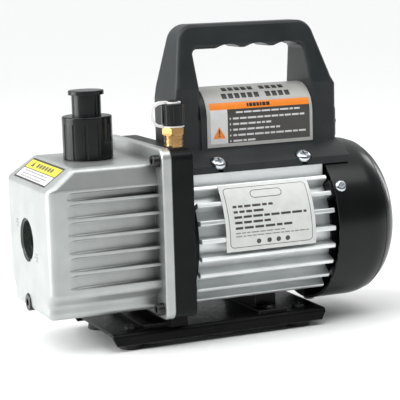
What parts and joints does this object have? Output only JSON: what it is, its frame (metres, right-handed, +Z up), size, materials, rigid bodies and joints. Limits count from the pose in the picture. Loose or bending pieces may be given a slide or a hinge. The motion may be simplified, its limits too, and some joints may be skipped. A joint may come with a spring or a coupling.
{
  "type": "rotary vane vacuum pump",
  "caption": "Portable single-stage rotary vane vacuum pump: finned oil tank, vane pump unit, finned motor, fan cover, carry handle, flare intake and vented exhaust cap.",
  "frame": {"origin": "centre of the whole pump's footprint, on the plane that its four rubber feet stand on", "axes": "+X along the shaft from the oil tank towards the fan, +Y to the side away from the intake fitting, +Z up"},
  "size_m": [0.2628, 0.116, 0.2154],
  "materials": {
    "cast_silver": "sprayed silver paint, satin",
    "black_cast": "satin black paint",
    "extrusion": "bright extruded aluminium",
    "cover_black": "satin black paint",
    "base_black": "satin black paint",
    "handle_plastic": "fine textured charcoal plastic",
    "black_plastic": "moulded black plastic",
    "brass": "turned brass",
    "zinc": "bright zinc plate",
    "black_screw": "black oxide",
    "glass_ring": "dark anodised",
    "steel": "machined steel",
    "iron": "machined cast iron",
    "carbon": "carbon composite",
    "rubber": "black rubber",
    "seal_rubber": "nitrile rubber",
    "sight_glass": "clear glass",
    "strap_white": "translucent moulded plastic",
    "copper": "enamelled winding wire",
    "laminations": "stacked electrical sheet",
    "front_label": "printed sticker",
    "handle_label": "printed sticker",
    "nameplate": "printed foil plate",
    "filter": "felt",
    "gasket_paper": "gasket sheet",
    "can_white": "plastic can",
    "rocker_red": "moulded plastic"
  },
  "bodies": {
    "root": {"oil_tank": "cast_silver", "tank_gasket": "gasket_paper", "sight_glass_seal": "seal_rubber", "sight_glass_lens": "sight_glass", "sight_glass_ring": "glass_ring", "tank_screws": "black_screw", "tank_label": "front_label", "oil_mist_filter": "filter", "end_plate": "black_cast", "pump_cylinder": "iron", "pump_cover": "iron", "pump_screws": "black_screw", "shaft_seal": "seal_rubber", "valve_stop": "steel", "valve_screws": "steel", "intake_seal": "seal_rubber", "intake_fitting": "brass", "intake_screen": "brass", "motor_housing": "extrusion", "motor_foot": "base_black", "base_screws": "black_screw", "stator_core": "laminations", "stator_windings": "copper", "front_bearing": "steel", "rear_bearing": "steel", "rear_end_bell": "black_cast", "motor_bolts": "zinc", "fan_cover": "cover_black", "fan_cover_screws": "zinc", "nameplate": "nameplate", "handle": "handle_plastic", "handle_screws": "zinc", "handle_label": "handle_label", "power_inlet": "black_plastic", "inlet_screws": "zinc", "power_switch": "black_plastic", "run_capacitor": "can_white", "terminal_block": "can_white", "base_plate": "base_black", "pump_foot": "base_black", "rubber_feet": "rubber", "foot_screws": "black_screw"},
    "rotor": {"pump_rotor": "steel", "rotor_key": "steel", "motor_shaft": "steel", "rotor_core": "laminations", "cooling_fan": "black_plastic", "vane_springs": "steel"},
    "vane_near_body": {"vane_near": "carbon"},
    "vane_far_body": {"vane_far": "carbon"},
    "valve_plate": {"exhaust_valve_plate": "steel"},
    "exhaust_cap_lift": {"exhaust_cap_seal": "seal_rubber"},
    "exhaust_cap_turn": {"exhaust_cap": "black_plastic"},
    "exhaust_plug_body": {"exhaust_plug": "black_plastic"},
    "intake_cap_lift": {"cap_strap": "strap_white", "intake_cap_seal": "seal_rubber"},
    "intake_cap_turn": {"intake_cap": "black_plastic"},
    "drain_plug_lift": {"drain_seal": "seal_rubber"},
    "drain_plug_turn": {"drain_plug": "black_screw"},
    "rocker": {"switch_rocker": "rocker_red"}
  },
  "joints": [
    {"name": "rotor_spin", "type": "hinge", "parent": "root", "child": "rotor", "pos_m": [0, 0, 0.07], "axis": [1, 0, 0], "continuous": true},
    {"name": "vane_near_slide", "type": "slide", "parent": "rotor", "child": "vane_near_body", "axis": [0, -1, 0], "range_m": [0, 0.0024]},
    {"name": "vane_far_slide", "type": "slide", "parent": "rotor", "child": "vane_far_body", "axis": [0, 1, 0], "range_m": [0, 0.0024]},
    {"name": "valve_plate_lift", "type": "slide", "parent": "root", "child": "valve_plate", "axis": [0, 0, 1], "range_m": [0, 0.0019]},
    {"name": "exhaust_cap_rise", "type": "slide", "parent": "root", "child": "exhaust_cap_lift", "axis": [0, 0, 1], "range_m": [0, 0.009]},
    {"name": "exhaust_cap_turn", "type": "hinge", "parent": "exhaust_cap_lift", "child": "exhaust_cap_turn", "pos_m": [-0.0853, 0, 0.14], "axis": [0, 0, 1], "range_deg": [0, 2160]},
    {"name": "exhaust_plug_pull", "type": "slide", "parent": "exhaust_cap_turn", "child": "exhaust_plug_body", "axis": [0, 0, 1], "range_m": [0, 0.009]},
    {"name": "intake_cap_rise", "type": "slide", "parent": "root", "child": "intake_cap_lift", "axis": [0, 0, 1], "range_m": [0, 0.00762]},
    {"name": "intake_cap_turn", "type": "hinge", "parent": "intake_cap_lift", "child": "intake_cap_turn", "pos_m": [-0.0384, -0.04, 0.157], "axis": [0, 0, 1], "range_deg": [0, 2160]},
    {"name": "drain_plug_out", "type": "slide", "parent": "root", "child": "drain_plug_lift", "axis": [-1, 0, 0], "range_m": [0, 0.01]},
    {"name": "drain_plug_turn", "type": "hinge", "parent": "drain_plug_lift", "child": "drain_plug_turn", "pos_m": [-0.125, 0.006, 0.031], "axis": [-1, 0, 0], "range_deg": [0, 2880]},
    {"name": "switch_tip", "type": "hinge", "parent": "root", "child": "rocker", "pos_m": [0.091, 0, 0.1623], "axis": [0, 0, 1], "range_deg": [-24, 0]}
  ],
  "couplings": [
    {"joint": "exhaust_cap_rise", "follows": "exhaust_cap_turn", "m_per_rad": 0.00023873},
    {"joint": "intake_cap_rise", "follows": "intake_cap_turn", "m_per_rad": 0.00020213},
    {"joint": "drain_plug_out", "follows": "drain_plug_turn", "m_per_rad": 0.00019894}
  ]
}
